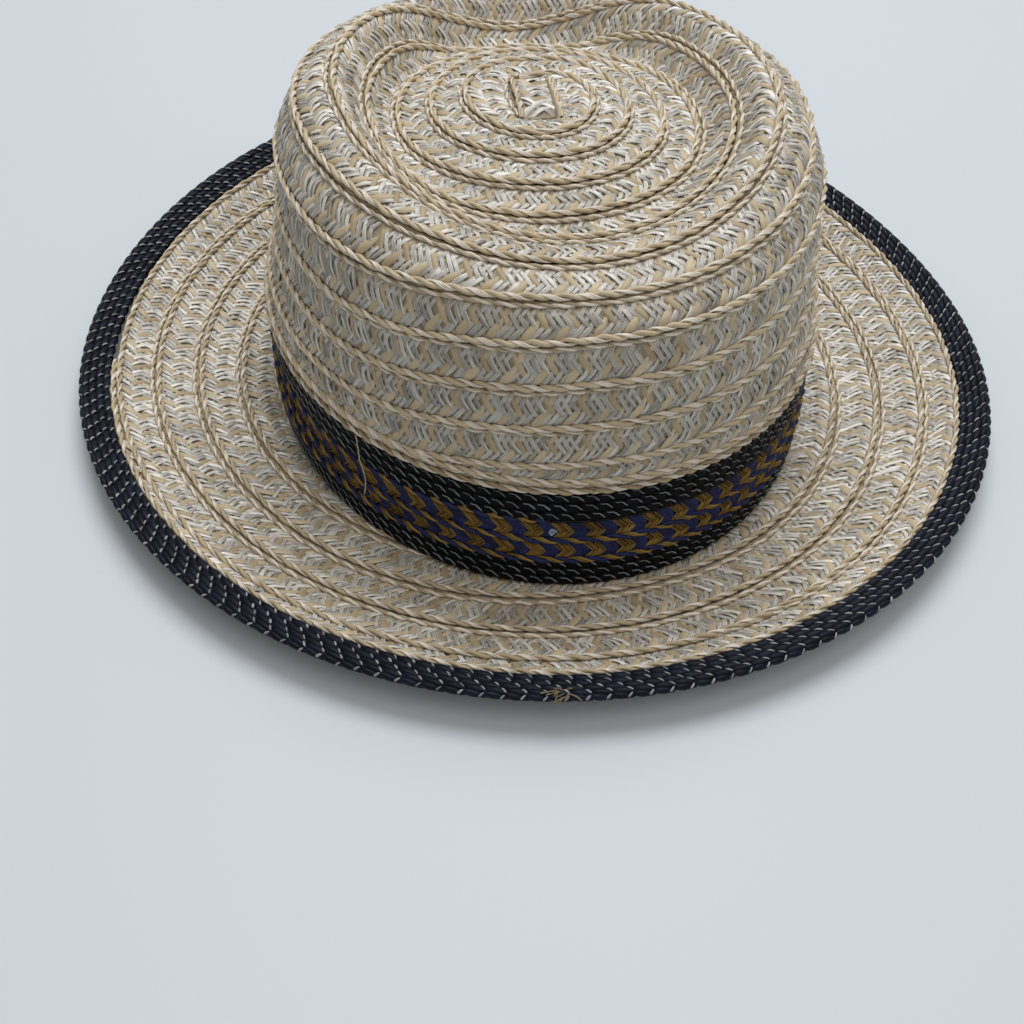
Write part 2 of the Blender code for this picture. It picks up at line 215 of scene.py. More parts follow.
class Surface:
    """A surface of columns, one for each direction, with outward normals. Its calls take arrays."""

    def __init__(self, column):
        raw = np.array([column(angle(i / COLUMNS)) for i in range(COLUMNS)])
        legs = np.linalg.norm(np.diff(raw, axis=1), axis=2)
        arc = np.hstack([np.zeros((COLUMNS, 1)), np.cumsum(legs, axis=1)])
        self.total = arc[:, -1]
        share = np.linspace(0, 1, SAMPLES + 1)
        even = [[np.interp(share * arc[i, -1], arc[i], raw[i, :, k]) for k in range(3)]
                for i in range(COLUMNS)]
        self.points = np.array(even).transpose(0, 2, 1)
        along = np.gradient(self.points, axis=1)
        across = np.roll(self.points, -1, 0) - np.roll(self.points, 1, 0)
        across[:, 0] = across[:, 1]
        normal = np.cross(across, along)
        self.normals = normal / np.linalg.norm(normal, axis=2, keepdims=True)

    def length(self, turn):
        place = (np.asarray(turn, float) % 1.0) * COLUMNS
        low = np.floor(place).astype(int)
        part = place - low
        return self.total[low % COLUMNS] * (1 - part) + self.total[(low + 1) % COLUMNS] * part

    def at(self, turn, distance, height):
        place = (turn % 1.0) * COLUMNS
        low = np.floor(place).astype(int)
        part = (place - low)[..., None]
        first = self._column(low % COLUMNS, distance, height)
        second = self._column((low + 1) % COLUMNS, distance, height)
        return first * (1 - part) + second * part

    def _column(self, i, distance, height):
        place = distance / self.total[i] * SAMPLES
        low = np.clip(np.floor(place), 0, SAMPLES - 1).astype(int)
        part = (place - low)[..., None]
        point = self.points[i, low] * (1 - part) + self.points[i, low + 1] * part
        part = np.clip(part, 0, 1)
        normal = self.normals[i, low] * (1 - part) + self.normals[i, low + 1] * part
        return point + height[..., None] * normal


class Plait:
    """A plait on a surface between two seam lines, which are functions of the turn."""

    def __init__(self, surface, upper, lower, start, end, lap=0.0, narrow=0.0, lift=0.0, closed=False):
        self.surface, self.lap, self.lift, self.closed = surface, lap, lift, closed
        margin = LOOP_MARGIN if closed else 0.0
        self.turns = np.linspace(start - margin, end + margin, int((end - start) * SEAM_POINTS) + 2)
        self.upper, self.lower = upper(self.turns), lower(self.turns)
        self.wide = np.maximum(self.lower - self.upper, narrow)
        line = surface.at(self.turns, self.lower - self.wide / 2, 0 * self.turns)
        legs = np.linalg.norm(np.diff(line, axis=0), axis=1)
        self.s = np.concatenate([[0], np.cumsum(legs)])
        self.s -= np.interp(start, self.turns, self.s)
        self.length = np.interp(end, self.turns, self.s)

    def width(self, s):
        return np.interp(s, self.s, self.wide)

    def place(self, s, v, h):
        turn = np.interp(s, self.s, self.turns)
        upper, lower = np.interp(s, self.s, self.upper), np.interp(s, self.s, self.lower)
        wide = self.width(s)
        distance = lower - wide * (1 - v)
        sink = np.clip((upper - distance) / SINK_OVER, 0, 1) * SINK
        return self.surface.at(turn, distance, self.lift + h - self.lap * (1 - v) - sink)

    def hidden(self, s, v):
        """How far a point lies under the row above."""
        lower = np.interp(s, self.s, self.lower)
        return np.interp(s, self.s, self.upper) - (lower - self.width(s) * (1 - v))


class FlatPlait:
    """The straight starting strip on top of the crown. It runs from its back end to its front end."""

    def __init__(self):
        self.closed = False
        self.length = 2 * STRIP_HALF[1]

    def width(self, s):
        return 2 * STRIP_HALF[0] + 0 * np.asarray(s)

    def place(self, s, v, h):
        x = STRIP_HALF[0] * (2 * v - 1)
        y = STRIP_HALF[1] - s
        fall = np.clip(-y / STRIP_FALL[1], 0, 1) ** 2 * STRIP_FALL[0]
        ends = np.clip(np.abs(y) / STRIP_SEEN - STRIP_END[0], 0, 1) * STRIP_END[1]
        z = BAND_TOP_Z + TOP_RISE - fall - ends + STRIP_LIFT + h
        return np.stack([TIP[0] + x, TIP[1] + y, z], -1)

    def hidden(self, s, v):
        return 0 * s


# ---- meshes ----
def new_object(name, data):
    item = bpy.data.objects.new(name, data)
    bpy.context.scene.collection.objects.link(item)
    return item


class Weave:
    """Collects strands and makes them one mesh, with the strands' own coordinates and tones."""

    def __init__(self):
        self.points, self.faces, self.uv, self.tone, self.count = [], [], [], [], 0

    def add(self, points, along, across, tone, closed=False):
        n, length, width = points.shape[:3]
        strand = np.arange(n)[:, None, None] * length
        row = np.arange(length - 1)[None, :, None]
        k = np.arange(width if closed else width - 1)[None, None, :]
        first = (strand + row) * width
        following = (k + 1) % width
        faces = np.stack([first + k, first + following, first + width + following, first + width + k], -1)
        self.faces.append(faces.reshape(-1, 4) + self.count)
        self.points.append(points.reshape(-1, 3))
        shape = (n, length, width)
        uv = np.stack([np.broadcast_to(along, shape), np.broadcast_to(across, shape)], -1)
        self.uv.append(uv.reshape(-1, 2))
        self.tone.append(np.broadcast_to(np.asarray(tone)[:, None, None], shape).ravel())
        self.count += n * length * width

    def build(self, name, material, slot):
        points, faces = np.vstack(self.points), np.vstack(self.faces)
        uv, tone = np.vstack(self.uv), np.concatenate(self.tone)
        mesh = bpy.data.meshes.new(name)
        mesh.vertices.add(len(points))
        mesh.vertices.foreach_set("co", points.astype(np.float32).ravel())
        mesh.loops.add(len(faces) * 4)
        mesh.loops.foreach_set("vertex_index", faces.astype(np.int32).ravel())
        mesh.polygons.add(len(faces))
        mesh.polygons.foreach_set("loop_start", np.arange(0, len(faces) * 4, 4, dtype=np.int32))
        mesh.update(calc_edges=True)
        mesh.polygons.foreach_set("use_smooth", np.ones(len(faces), dtype=bool))
        layer = mesh.uv_layers.new(name="strand")
        layer.data.foreach_set("uv", uv[faces.ravel()].astype(np.float32).ravel())
        mark = mesh.attributes.new("tone", "FLOAT", "POINT")
        mark.data.foreach_set("value", tone.astype(np.float32))
        mesh.materials.append(material)
        item = new_object(name, mesh)
        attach(item, "root")
        return item


# Where the points across a strand lie, from -1 to 1, and its section's height at each
SPREADS = {3: np.array([-1.0, 0.0, 1.0]), 5: np.array([-1.0, -0.6, 0.0, 0.6, 1.0]),
           7: np.array([-1.0, -0.66, -0.33, 0.0, 0.33, 0.66, 1.0])}
STRAW_ARCH = mm(-0.24, 0.01, 0.10, 0.01, -0.24)
THREE_ARCH = mm(-0.22, 0.10, -0.17, 0.13, -0.17, 0.10, -0.22)
CELL_ARCH = mm(-0.50, 0.05, 0.25, 0.05, -0.50)
INNER_ARCH = mm(0.14, -0.08, 0.14)
THREAD_ARCH = mm(-0.10, 0.06, 0.10, 0.06, -0.10)
# Plies: height of the line that they wind round, distance from it, radius and sides
THICK_PLY = (0.00032, 0.00044, 0.00062, 7)
FINE_PLY = (0.00034, 0.00058, 0.00030, 5)
CORD_PLY = (0.00030, 0.00027, 0.00046, 6)
INNER_PLY = (-0.00022, 0.0, 0.00060, 6)
PLY_STEP = REPEAT / 12
BACKING_STEP = 0.0018
BACKING_DEPTH = 0.00034  # under a natural plait, and under a dark one
DARK_BACKING = 0.00030


def strands(weave, plait, s, v, h, width, arch, rng, tones=(0.0, 1.0), inner=False):
    """Flat strands along paths given in the plait's coordinates, each row of the arrays one strand."""
    spread = SPREADS[len(arch)]
    keep = inner | (np.median(plait.hidden(s, v), axis=1) < HIDDEN)
    if not plait.closed:
        keep &= (s.min(1) > CUT_MARGIN) & (s.max(1) < plait.length - CUT_MARGIN)
    s, v, h = s[keep], v[keep], h[keep]
    width = np.broadcast_to(width, keep.shape + (s.shape[1],))[keep]
    if not len(s):
        return
    wide = plait.width(s)
    y = v * wide
    ds, dy = np.gradient(s, axis=1), np.gradient(y, axis=1)
    size = np.hypot(ds, dy) + 1e-9
    side_s, side_y = -dy / size * width / 2, ds / size * width / 2
    points = plait.place(s[..., None] + side_s[..., None] * spread,
                         v[..., None] + (side_y / wide)[..., None] * spread,
                         h[..., None] + arch)
    run = np.cumsum(size, axis=1)[..., None]
    tone = rng.uniform(*tones, len(s))
    offset = (tone * 3.7)[:, None, None]
    weave.add(points, run / MM, width[..., None] * spread / 2 / MM + offset, tone)


def mixed_strands(straw, filament, plait, s, v, h, straw_form, filament_form, rng, inner=False):
    """Crossing strands, each fourth a straw. A form is a width and the section's arch."""
    thick = np.arange(len(s)) % 4 == 0
    for weave, own, (wide, arch) in ((straw, thick, straw_form), (filament, ~thick, filament_form)):
        strands(weave, plait, s[own], v[own], h[own], wide, arch, rng, inner=inner)


def ply(weave, plait, v, form, pitch, phase, start, end, step, tone):
    """A round ply of the form's size that winds along the plait at v."""
    lift, orbit, radius, sides = form
    count = max(4, int((end - start) / step))
    s = np.linspace(start, end, count)
    wide = plait.width(s)
    turn = CIRCLE * s / pitch + phase
    wobble = 0.00012 * np.sin(s / 0.0113 + phase) + 0.00009 * np.sin(s / 0.0041 + 2 * phase)
    y = orbit * np.cos(turn) + wobble
    h = lift + orbit * np.sin(turn)
    ring = np.linspace(0, CIRCLE, sides, endpoint=False)
    swell = radius * (1 + 0.10 * np.sin(s / 0.0027 + 3 * phase))
    across = v + (y[:, None] + np.cos(ring) * swell[:, None]) / wide[:, None]
    height = h[:, None] + np.sin(ring) * swell[:, None]
    points = plait.place(np.broadcast_to(s[:, None], across.shape), across, height)
    weave.add(points[None], (s / MM)[None, :, None], (ring * radius / MM)[None, None, :], [tone], True)


def backing(weave, plait, upper, lower, depth):
    """The plait's inner strands, seen in its gaps, as one ribbon along it, coloured darker than those
    strands: painted shade in the gaps.
    """
    margin = 0.001 if plait.closed else -2 * CUT_MARGIN
    s = np.linspace(-margin, plait.length + margin, int(plait.length / BACKING_STEP))
    v = np.linspace(upper, lower, 7)
    points = plait.place(s[:, None] + 0 * v, v + 0 * s[:, None], -depth + 0 * s[:, None] * v)
    wide = plait.width(s)[:, None]
    weave.add(points[None], (s / MM)[None, :, None], (v * wide / MM)[None], [0.4])


def stitches(weave, plait, v, height, way, rng):
    """Running stitches along the plait at v. way is -1 where they stand out on its inner face."""
    count = int(plait.length / STITCH_PITCH)
    middle = (np.arange(count) + 0.5) * plait.length / count + rng.normal(0, 0.0002, count)
    t = np.linspace(-1, 1, 7)
    s = middle[:, None] + t * STITCH_LONG / 2
    rise = height + way * STITCH_RISE * (1 - np.abs(t) ** 3) - way * STITCH_SUNK
    ring = np.linspace(0, CIRCLE, 5, endpoint=False)
    across = v + np.cos(ring) * STITCH_RADIUS / plait.width(s)[..., None]
    up = (rise + 0 * s)[..., None] + np.sin(ring) * STITCH_RADIUS
    points = plait.place(s[..., None] + 0 * ring, across, up)
    tone = rng.uniform(0, 1, count)
    weave.add(points, s[..., None] / MM, (ring * STITCH_RADIUS / MM)[None, None, :], tone, True)


# ---- the natural plait ----
# Paths of the two sets of strands: v, shift along the plait in mm, height in mm. The first set rises
# towards smaller s and is on top in the lower and the upper third. The second is on top in the middle.
RISING = np.array([
    (0.95, 2.8, -0.20), (0.91, 2.3, 0.05), (0.86, 1.7, 0.28), (0.80, 1.05, 0.36), (0.74, 0.5, 0.30),
    (0.68, 0.0, 0.08), (0.61, -0.45, -0.12), (0.53, -0.95, -0.15), (0.46, -1.35, -0.06), (0.40, -1.7, 0.10),
    (0.34, -2.1, 0.14), (0.26, -2.65, -0.02), (0.16, -3.4, -0.25), (0.03, -4.4, -0.45)])
RISING_STRAW = np.array([
    (0.96, 3.0, -0.30), (0.92, 2.45, 0.05), (0.86, 1.75, 0.34), (0.79, 1.0, 0.42),
    (0.72, 0.3, 0.40), (0.65, -0.25, 0.26), (0.59, -0.7, 0.02), (0.53, -1.15, -0.18),
    (0.46, -1.55, -0.22), (0.40, -1.85, -0.12), (0.34, -2.2, -0.06), (0.26, -2.75, -0.24),
    (0.16, -3.5, -0.30), (0.03, -4.5, -0.50)])
FALLING = np.array([
    (0.95, -2.8, -0.26), (0.89, -2.1, -0.20), (0.82, -1.35, -0.16), (0.76, -0.75, -0.10),
    (0.71, -0.25, 0.04), (0.65, 0.2, 0.26), (0.58, 0.7, 0.36), (0.51, 1.15, 0.36),
    (0.45, 1.6, 0.24), (0.39, 2.0, 0.04), (0.33, 2.4, -0.12), (0.25, 2.95, -0.20),
    (0.15, 3.65, -0.32), (0.03, 4.5, -0.50)])
FALLING_STRAW = FALLING * np.array([1.0, 1.0, 0.55]) - np.array([0.0, 0.0, 0.06])
# Share of the full width at each of a path's points, for a straw of each set
LEAF = np.array([0.30, 0.62, 0.95, 1.05, 1.00, 0.85, 0.66, 0.55, 0.60, 0.70, 0.75, 0.75, 0.75, 0.70])
BAND_OF_STRAW = np.array([0.60, 0.65, 0.72, 0.78, 0.86, 0.95, 1.0, 1.0, 0.96, 0.90, 0.85, 0.85, 0.80, 0.70])
BUNDLES = (0.0, 1.95, 3.9)  # places of the filament bundles in a repeat, in mm
STRAW_PLACE = 6.05  # and of the straw
RISING_WIDE = 0.0021  # widths of a straw in each set, and of a bundle
FALLING_WIDE = 0.0018
BUNDLE_WIDE = 0.00120
INNER_DEPTH = 0.00066  # the inner side's strands lie this deep, and lean this far each way
INNER_LEAN = 0.0040
INNER_STRAW = (0.0024, INNER_ARCH)  # forms of the inner side's strands, and of the hem's
INNER_FILAMENT = (0.0015, INNER_ARCH)
HEM_STRAW = (0.0018, STRAW_ARCH)
HEM_FILAMENT = (0.0010, THREE_ARCH)
HEM_PITCH = 0.0021
HEM_LEAN = 2.2  # in mm
CORD_LINE = 0.165  # v of the thin cord, of the hem's cord, and of the hem's rope
HEM_CORD_LINE = 0.30
HEM_ROPE_LINE = 0.74
SHIFT = -3.00  # the falling strands stand this far along from the rising ones


def path(table, places, rng):
    """Strand paths through the table's points at every place, each a little different."""
    n = len(places)
    lean = 1 + rng.normal(0, 0.11, (n, 1))
    s = places[:, None] + table[:, 1] * MM * lean + rng.normal(0, 0.00020, (n, 1))
    v = table[:, 0] + rng.normal(0, 0.015, (n, 1))
    h = table[:, 2] * MM * (1 + rng.normal(0, 0.22, (n, 1))) + rng.normal(0, 0.00005, (n, 1))
    return s, np.clip(v, 0.02, 0.985), h


def natural_plait(plait, straw, rising, falling, ridge, cord, behind, rng, cord_from=ROPE_MARGIN):
    """All strands of a natural plait. Its thin cord starts at cord_from, or is left out."""
    count = int(plait.length / REPEAT)
    starts = np.arange(count) * (plait.length / count) + rng.uniform(0, REPEAT)
    starts = starts + rng.normal(0, 0.00030, count)
    sets = ((RISING, RISING_STRAW, LEAF, RISING_WIDE, (0.35, 1.0), 0.0, rising),
            (FALLING, FALLING_STRAW, BAND_OF_STRAW, FALLING_WIDE, (0.0, 0.5), SHIFT, falling))
    for table, straw_table, shape, wide, tones, shift, weave in sets:
        s, v, h = path(straw_table, starts + (STRAW_PLACE + shift) * MM, rng)
        size = wide * shape * rng.uniform(0.84, 1.12, (count, 1))
        strands(straw, plait, s, v, h, size, STRAW_ARCH, rng, tones)
        for bundle in BUNDLES:
            s, v, h = path(table, starts + (bundle + shift) * MM, rng)
            size = BUNDLE_WIDE * (0.7 + 0.3 * shape) * rng.uniform(0.80, 1.15, (count, 1))
            strands(weave, plait, s, v, h, size, THREE_ARCH, rng)
    # the backing's darker colour is painted shade in the gaps between the strands
    backing(behind, plait, 0.02, 0.96, BACKING_DEPTH)
    inner_face(plait, straw, rising, falling, rng)
    thick_ridge(plait, straw, ridge, 1.0, rng)
    if cord_from is not None:
        thin_cord(plait, cord, CORD_LINE, rng, cord_from)
    # a ply in the inner strands' darker colour under the row above: painted shade in the groove below each
    # ridge
    ply(behind, plait, 0.06, INNER_PLY, 1.0, 0.0,
        ROPE_MARGIN, plait.length - ROPE_MARGIN, 2 * PLY_STEP, 0.5)


def inner_face(plait, straw, rising, falling, rng):
    """The strands on the plait's inner side, where each set passes over and under the other."""
    count = int(plait.length / REPEAT) * 4
    places = np.arange(count) * plait.length / count
    t = np.linspace(-1, 1, 7)
    for way, filament in ((1, rising), (-1, falling)):
        s = places[:, None] + way * t * INNER_LEAN + rng.normal(0, 0.00015, (count, 1))
        v = 0.5 + 0.46 * t + 0 * s
        h = -INNER_DEPTH + way * 0.00014 * np.cos(3 * math.pi * t) + 0 * s
        mixed_strands(straw, filament, plait, s, v, h, INNER_STRAW, INNER_FILAMENT, rng, inner=True)


def rope_ends(plait, start=ROPE_MARGIN):
    return (0.0, plait.length) if plait.closed else (start, plait.length - ROPE_MARGIN)


def thick_ridge(plait, thick, fine, v, rng):
    """A rope of one thick ply and a ply of three fine strands."""
    start, end = rope_ends(plait)
    phase = rng.uniform(0, 6)
    ply(thick, plait, v, THICK_PLY, REPEAT, phase, start, end, PLY_STEP, rng.uniform(0, 1))
    for k in range(3):
        ply(fine, plait, v, FINE_PLY, REPEAT, phase + 2.50 + 0.60 * k, start, end, PLY_STEP,
            rng.uniform(0, 1))


def thin_cord(plait, cord, v, rng, start=ROPE_MARGIN):
    """A cord of two equal plies."""
    start, end = rope_ends(plait, start)
    phase = rng.uniform(0, 6)
    for k in range(2):
        ply(cord, plait, v, CORD_PLY, 0.8 * REPEAT, phase + math.pi * k, start, end, PLY_STEP, k)


# ---- seams of the crown ----
def strip_outline(turn):
    """Distance from the tip to the starting strip's outline."""
    theta = np.pi / 2 - 2 * np.pi * turn
    side = STRIP_HALF[0] / np.maximum(np.abs(np.cos(theta)), 0.05)
    end = STRIP_SEEN / np.maximum(np.abs(np.sin(theta)), 0.05) - TIP_HALF
    return np.minimum(side, end)


def ease(x):
    x = np.clip(x, 0, 1)
    return x * x * (3 - 2 * x)


def crown_seam(surface, turn):
    """Distance of the even spiral from the tip. Its start follows the strip's outline."""
    extra = np.maximum(0.0, turn - CREASE_TURN) * SIDE_EXTRA
    whole = FIRST_TURN + TOP_PITCH * CROWN_TURNS + (CROWN_TURNS - CREASE_TURN) * SIDE_EXTRA
    plain = (FIRST_TURN + TOP_PITCH * turn + extra) / whole * surface.length(turn)
    start = ease((turn - 0.38) / 0.36)
    return strip_outline(turn) * (1 - start) + plain * start


def crown_row(surface, turn):
    """Distance of a row's ridge from the tip."""
    side = ease((turn - 6.0) / 2.6)
    part = (turn + 0.25) % 1.0 - 0.25
    drift = np.interp(part, *np.transpose(ROW_DRIFT)) * MM
    ridge = crown_seam(surface, turn) + side * drift - (1 - side) * RIDGE_IN * ease(turn - 0.4)
    return np.minimum(ridge, surface.length(turn) - LAST_ROW)


def crown_upper(surface, turn):
    """A row's upper edge: the strip's outline, then the row before."""
    return np.where(turn < 1.4, strip_outline(turn), crown_row(surface, turn - 1))


# ---- seams of the brim: distance of the seam line from the edge plait, in mm, at turns ----
BRIM_SEAM = (
    (-2.75, 54.0), (-2.25, 53.4), (-2.0, 46.6), (-1.75, 40.7), (-1.25, 40.5), (-1.0, 33.4),
    (-0.75, 27.3), (-0.25, 26.9), (0.0, 20.4), (0.25, 14.0), (0.75, 12.8), (1.0, 7.8),
    (1.25, 2.2), (1.4, 0.9), (2.4, 0.9))


def brim_seam(surface, turn):
    """The spiral seam's distance from the brim's inner edge, with soft bends."""
    table = np.array(BRIM_SEAM)
    total = 0
    for shift in np.linspace(-0.07, 0.07, 9):
        total = total + np.interp(turn + shift, table[:, 0], table[:, 1])
    return surface.length(turn) - EDGE_WIDTH - total / 9 * MM


# ---- materials ----
WAVE_SCALE = 0.314  # a wave texture's scale that gives one band in each millimetre


def feed(tree, item, *pairs):
    """Links a node's inputs to outputs, or sets them to values."""
    for socket, value in pairs:
        if isinstance(value, bpy.types.NodeSocket):
            tree.links.new(value, item.inputs[socket])
        else:
            item.inputs[socket].default_value = value


def calculate(tree, operation, *values):
    item = tree.nodes.new("ShaderNodeMath")
    item.operation = operation
    feed(tree, item, *enumerate(values))
    return item.outputs[0]


def noise(tree, vector, scale, detail):
    item = tree.nodes.new("ShaderNodeTexNoise")
    feed(tree, item, ("Vector", vector), ("Scale", scale), ("Detail", detail))
    return item.outputs["Fac"]


def srgb(r, g, b):
    """Linear colour of an sRGB colour from 0 to 255."""
    return [((c / 255 + 0.055) / 1.055) ** 2.4 if c > 10 else c / 255 / 12.92 for c in (r, g, b)]


def fibre(name, dark, light, roughness, streak=(0.6, 5.0), bump=0.25, grain=0.45, span=(0.30, 0.85),
          coat=0.0, worn=0.35, gloss=0.5):
    """Material of strands: streaks along each one, a tone of its own, and slow changes over the hat."""
    item = bpy.data.materials.new(name)
    item.use_nodes = True
    tree = item.node_tree
    uv = tree.nodes.new("ShaderNodeUVMap")
    uv.uv_map = "strand"
    scale = tree.nodes.new("ShaderNodeVectorMath")
    scale.operation = "MULTIPLY"
    feed(tree, scale, (0, uv.outputs["UV"]), (1, (*streak, 1.0)))
    streaks = noise(tree, scale.outputs["Vector"], 1.0, 4.0)
    patches = noise(tree, tree.nodes.new("ShaderNodeTexCoord").outputs["Object"], 85.0, 3.0)
    tone = tree.nodes.new("ShaderNodeAttribute")
    tone.attribute_name = "tone"
    slow = calculate(tree, "MULTIPLY", patches, 0.35)
    mixed = calculate(tree, "MULTIPLY_ADD", streaks, grain, slow)
    ramp = tree.nodes.new("ShaderNodeValToRGB")
    feed(tree, ramp, ("Fac", calculate(tree, "MULTIPLY_ADD", tone.outputs["Fac"], worn, mixed)))
    for end, place, colour in zip(ramp.color_ramp.elements, span, (dark, light)):
        end.position = place
        end.color = (*srgb(*colour), 1)
    rough = tree.nodes.new("ShaderNodeMapRange")
    feed(tree, rough, ("Value", streaks), ("To Min", roughness - 0.08), ("To Max", roughness + 0.10))
    relief = tree.nodes.new("ShaderNodeBump")
    feed(tree, relief, ("Height", streaks), ("Strength", bump), ("Distance", 0.0002))
    feed(tree, tree.nodes["Principled BSDF"], ("Base Color", ramp.outputs["Color"]),
         ("Roughness", rough.outputs["Result"]), ("Normal", relief.outputs["Normal"]),
         ("Specular IOR Level", gloss), ("Coat Weight", coat), ("Coat Roughness", 0.25))
    return item


def own_node(tree, kind):
    """The material's only node of this kind."""
    return next(n for n in tree.nodes if n.type == kind)


def threads_across(tree, way, per_mm, wander):
    """Bands along or across a strand, this many in a millimetre."""
    wave = tree.nodes.new("ShaderNodeTexWave")
    wave.bands_direction = way
    feed(tree, wave, ("Vector", own_node(tree, "UVMAP").outputs["UV"]),
         ("Scale", WAVE_SCALE * per_mm), ("Distortion", wander))
    return wave.outputs["Fac"]


# Multiplies a material's colour by a pattern, whose dark parts are painted shade.
def darken(tree, pattern, depth):
    shade = tree.nodes.new("ShaderNodeMixRGB")
    shade.blend_type = "MULTIPLY"
    feed(tree, shade, ("Fac", depth), ("Color1", own_node(tree, "VALTORGB").outputs["Color"]),
         ("Color2", pattern))
    feed(tree, tree.nodes["Principled BSDF"], ("Base Color", shade.outputs["Color"]))


def lined(item, period, depth):
    """Draws a material's strands as fine ones side by side, this many millimetres apart, with painted shade
    darkening the grooves between them.
    """
    tree = item.node_tree
    darken(tree, threads_across(tree, "Y", 1 / period, 0.8), depth)


def cloth(name, dark, light, threads):
    """Plain-woven cloth with this many threads in a millimetre, a little worn and uneven, and painted shade
    between its threads.
    """
    item = fibre(name, dark, light, 0.8, (0.35, 0.35), 0.2, gloss=0.25)
    tree = item.node_tree
    weave = calculate(tree, "MULTIPLY", *(threads_across(tree, way, threads, 0.6) for way in ("X", "Y")))
    # painted shade in the hollows between the threads
    darken(tree, weave, 0.45)
    feed(tree, own_node(tree, "BUMP"), ("Height", weave))
    feed(tree, tree.nodes["Principled BSDF"], ("Sheen Weight", 0.3))
    return item


STRAW = fibre("straw", (154, 136, 105), (218, 200, 166), 0.52, coat=0.05)
FILAMENT = fibre("filament", (148, 136, 114), (252, 247, 237), 0.34, (0.22, 5.0), 0.4, 1.2, (0.48, 0.98),
                 coat=0.1, worn=0.25)
# painted shade in the grooves between the filaments
lined(FILAMENT, 0.36, 0.62)
RIDGE = fibre("ridge_filament", (170, 155, 130), (240, 230, 214), 0.38, (0.22, 5.0), 0.3, 0.9, (0.40, 0.95),
              coat=0.15)
CORD = fibre("cord", (166, 148, 118), (236, 225, 207), 0.48, grain=0.7, span=(0.42, 1.0), worn=0.45)
# painted shade: the inner strands, seen in the gaps and in the groove under each row, are darker than the
# straw and filaments they are made of
SHADED_INNER = fibre("shaded_inner_strands", (110, 98, 74), (174, 160, 132), 0.6, (1.6, 1.6), 0.6, 0.9, (0.40, 0.95))
BLACK = fibre("black_straw", (3, 3, 5), (12, 12, 17), 0.46, gloss=0.13)
# black of the black plaits' inner strands, and painted shade in the gaps of the patterned and navy plaits,
# whose own strands are lighter
SHADOWED = fibre("black_and_shaded_backing", (3, 3, 4), (10, 10, 13), 0.7, gloss=0.1)
GREY = fibre("grey_thread", (70, 78, 82), (142, 150, 154), 0.45, gloss=0.3)
BLUE = fibre("blue_straw", (16, 22, 48), (42, 50, 98), 0.48, gloss=0.2)
MUSTARD = fibre("mustard_thread", (92, 70, 28), (176, 142, 74), 0.55, gloss=0.25)
NAVY = fibre("navy_straw", (5, 7, 16), (20, 26, 44), 0.46, gloss=0.16)
PALE = fibre("pale_thread", (92, 97, 104), (184, 186, 184), 0.5, gloss=0.35)
KNOT_BLUE = fibre("knot_thread", (96, 116, 150), (168, 184, 208), 0.55)
SEWING = fibre("sewing_thread", (160, 148, 122), (226, 216, 192), 0.55)
DARK_SEWING = fibre("dark_sewing_thread", (10, 10, 14), (40, 42, 50), 0.5, gloss=0.25)
FRAYED = fibre("frayed_straw", (70, 62, 46), (150, 134, 102), 0.6)
LINEN = cloth("lining_tape", (196, 186, 162), (232, 226, 208), 2.2)
SWEAT_CLOTH = cloth("sweatband_cloth", (150, 136, 110), (206, 194, 168), 1.6)


# ---- the black plait ----
# A cell's path: distance along in pitches, height, and width as a share of the row's
CELL_ALONG = np.array([-0.60, -0.45, -0.2, 0.05, 0.3, 0.48, 0.60])
CELL_RISE = mm(-0.45, -0.10, 0.18, 0.28, 0.18, -0.08, -0.45)
CELL_WIDE = np.array([0.6, 0.95, 1.12, 1.15, 1.1, 0.9, 0.55])
BAND_CELL = (3, 0.0041)  # rows of cells and a cell's pitch, in the band's plaits and in the edge's
EDGE_CELL = (9, 0.0053)
DRAWN_PITCH = 0.0040  # THREAD and FLECK are drawn for cells of this pitch
# A thread's path over a cell, and a fleck's: distance along, share of the row down, height, width
THREAD = (
    mm(1.9, 1.5, 0.9, 0.3, 0.0, -0.5, -1.0, -1.5, -1.9),
    np.array([0.10, 0.08, 0.07, 0.07, 0.12, 0.27, 0.44, 0.60, 0.75]),
    mm(-0.10, 0.38, 0.46, 0.48, 0.50, 0.50, 0.46, 0.32, -0.10),
    mm(0.22, 0.26, 0.26, 0.28, 0.36, 0.46, 0.46, 0.38, 0.25))
FLECK = (
    mm(0.7, 0.4, 0.0, -0.4, -0.7),
    np.array([0.05, 0.22, 0.45, 0.68, 0.85]),
    mm(-0.20, 0.22, 0.36, 0.22, -0.20),
    mm(0.34, 0.52, 0.60, 0.52, 0.34))


def dark_plait(plait, cells, threads, behind, layout, rng, flecks=False):
    """Rows of long cells. A fine thread runs over each one and turns down at its end, or only turns down."""
    rows, cell = layout
    backing(behind, plait, 0.01, 0.99, DARK_BACKING)
    run, drop, rise, size = FLECK if flecks else THREAD
    count = int(plait.length / cell)
    pitch = plait.length / count
    scale = pitch / DRAWN_PITCH
    for row in range(rows):
        places = (np.arange(count) + 0.06 * row + 0.45 * (row % 3 == 2)) * pitch
        places = places + rng.normal(0, 0.00012, count)
        along = CELL_ALONG * pitch
        s = (places + 0.30 * pitch)[:, None] + along
        v = (row + 0.52) / rows - along / pitch * 0.06 + 0 * s
        thick = plait.width(places)[:, None] / rows * CELL_WIDE
        strands(cells, plait, s, v, CELL_RISE + 0 * s, thick, CELL_ARCH, rng)
        way = -1 if flecks and row == rows // 2 else 1
        s = places[:, None] + way * run * scale
        v = (row + 0.02 + drop) / rows + rng.normal(0, 0.006, (count, 1))
        wide = size * rng.uniform(0.75, 1.2, (count, 1))
        strands(threads, plait, s, np.clip(v, 0.01, 0.985) + 0 * s, rise + 0 * s, wide, THREAD_ARCH, rng)


